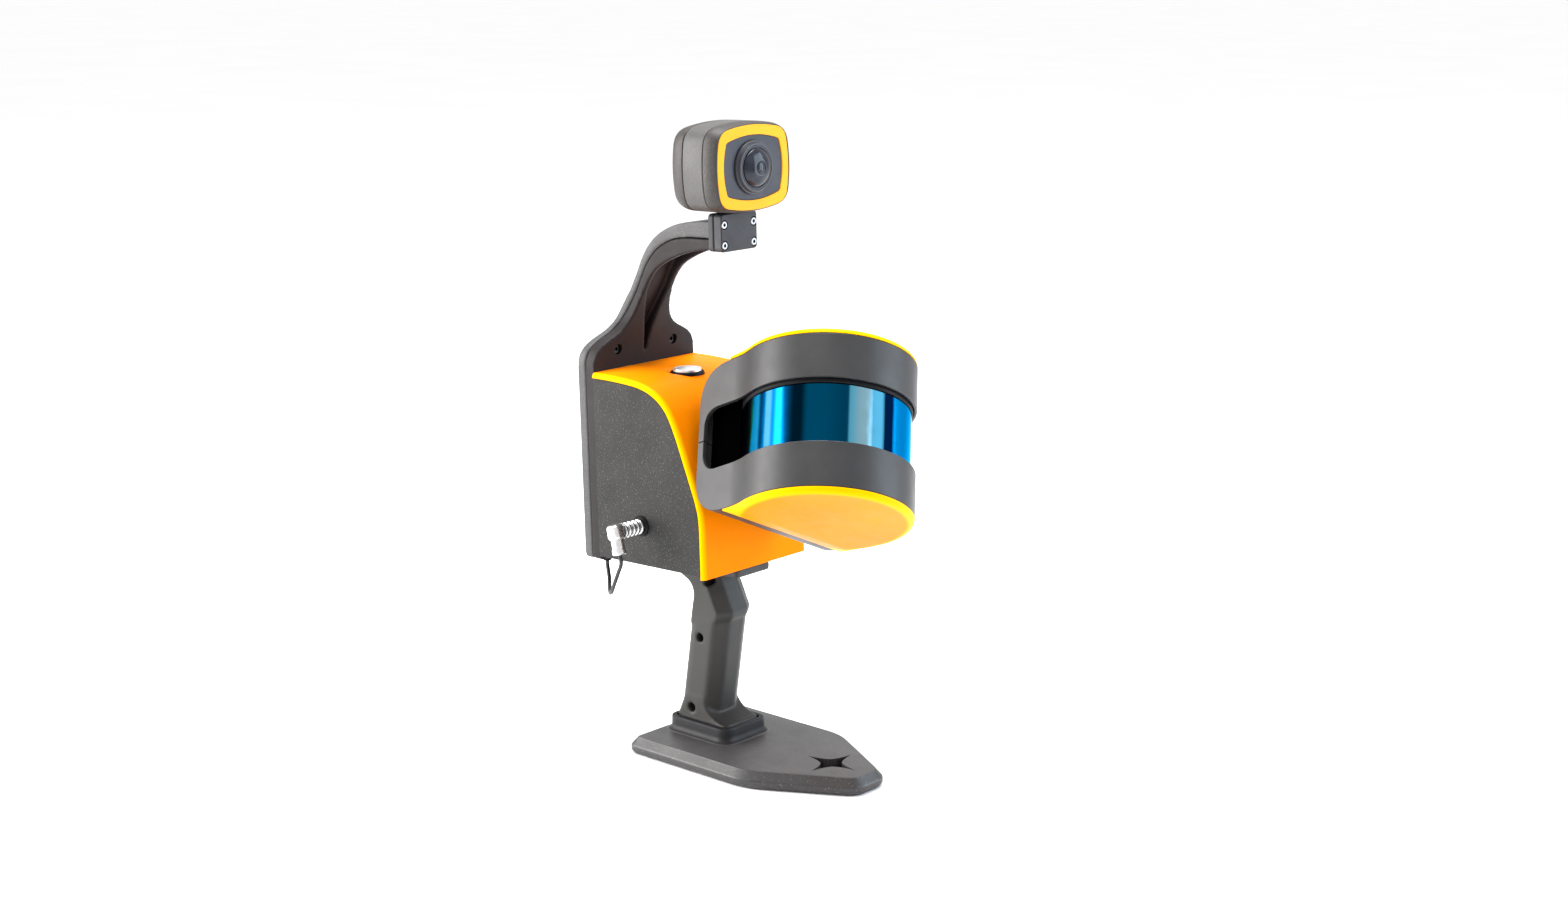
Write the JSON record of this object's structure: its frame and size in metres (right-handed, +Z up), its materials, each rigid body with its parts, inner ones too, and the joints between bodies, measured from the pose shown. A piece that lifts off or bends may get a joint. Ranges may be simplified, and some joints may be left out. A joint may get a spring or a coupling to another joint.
{
  "type": "handheld laser scanner",
  "caption": "Handheld laser scanner with a spinning rounded head, boxy orange and grey body, curved camera arm, pistol grip and a flat parking base.",
  "frame": {"origin": "middle of the base plate's underside", "axes": "+Z up, the scanning head faces -Y, +X is the side away from the plug"},
  "size_m": [0.1422, 0.2319, 0.3965],
  "materials": {
    "base": "satin powder coat",
    "handle": "satin moulded",
    "shell_orange": "semi-gloss",
    "cheek": "fine grain",
    "dark_plastic": "fine grain",
    "arm_grey": "fine grain",
    "head_grey": "satin",
    "black": "satin",
    "cable_black": "matt",
    "steel": "bright",
    "alloy": "machined",
    "ring_yellow": "satin",
    "camera_grey": "leather grain",
    "face_grey": "satin",
    "lens": "polished",
    "window": "blue mirror coat",
    "board": "circuit board"
  },
  "bodies": {
    "base": {"base_plate": "base"},
    "scanner": {"handle_shell_left": "handle", "handle_shell_right": "handle", "handle_screw_top": "steel", "handle_screw_middle": "steel", "handle_screw_bottom": "steel", "handle_bolt_left": "steel", "handle_bolt_right": "steel", "body_shell": "shell_orange", "cheek_left": "cheek", "cheek_right": "cheek", "bottom_cover": "dark_plastic", "button_bezel": "shell_orange", "arm_front_shell": "dark_plastic", "arm_rear_shell": "arm_grey", "arm_screw_left": "steel", "arm_screw_right": "steel", "clamp_front": "arm_grey", "clamp_rear": "arm_grey", "clamp_screw_top_left": "steel", "clamp_screw_top_right": "steel", "clamp_screw_bottom_left": "steel", "clamp_screw_bottom_right": "steel", "camera_post": "dark_plastic", "camera_frame": "dark_plastic", "camera_board": "board", "camera_shell_front": "camera_grey", "camera_shell_rear": "camera_grey", "camera_ring_front": "ring_yellow", "camera_ring_rear": "ring_yellow", "camera_face_front": "face_grey", "camera_face_rear": "face_grey", "lens_barrel_front": "black", "lens_barrel_rear": "black", "lens_dome_front": "lens", "lens_dome_rear": "lens", "port_socket": "black", "plug_barrel": "steel", "plug_elbow": "steel", "camera_cable": "cable_black", "cable_gland": "cable_black", "drive_bracket": "alloy", "drive_motor": "dark_plastic", "bearing_front": "steel", "bearing_rear": "steel", "slip_ring": "black", "main_board": "board"},
    "head": {"head_spindle": "alloy", "head_gear": "alloy", "head_shell_upper": "head_grey", "head_shell_lower": "head_grey", "head_core": "black", "head_cap_upper": "shell_orange", "head_cap_lower": "shell_orange", "lidar_base": "black", "lidar_window": "window", "lidar_top": "black"},
    "sensor_rotor": {"lidar_rotor": "black"},
    "pinion": {"motor_pinion": "steel"},
    "button": {"power_button": "steel"}
  },
  "joints": [
    {"name": "scanner_lift", "type": "slide", "parent": "base", "child": "scanner", "axis": [0, 0, 1], "range_m": [0, 0.05]},
    {"name": "head_spin", "type": "hinge", "parent": "scanner", "child": "head", "pos_m": [0, -0.04232, 0.211], "axis": [0, 0.9259, -0.3778], "continuous": true},
    {"name": "sensor_spin", "type": "hinge", "parent": "head", "child": "sensor_rotor", "pos_m": [0, -0.04232, 0.211], "axis": [0.4431, 0.3387, 0.83], "continuous": true},
    {"name": "pinion_spin", "type": "hinge", "parent": "scanner", "child": "pinion", "pos_m": [0, -0.03004, 0.24109], "axis": [0, 0.9259, -0.3778], "continuous": true},
    {"name": "button_press", "type": "slide", "parent": "scanner", "child": "button", "axis": [0, -0.0297, -0.9996], "range_m": [0, 0.001], "stiffness_N_per_m": 400}
  ],
  "couplings": [
    {"joint": "pinion_spin", "follows": "head_spin", "ratio": -4}
  ]
}
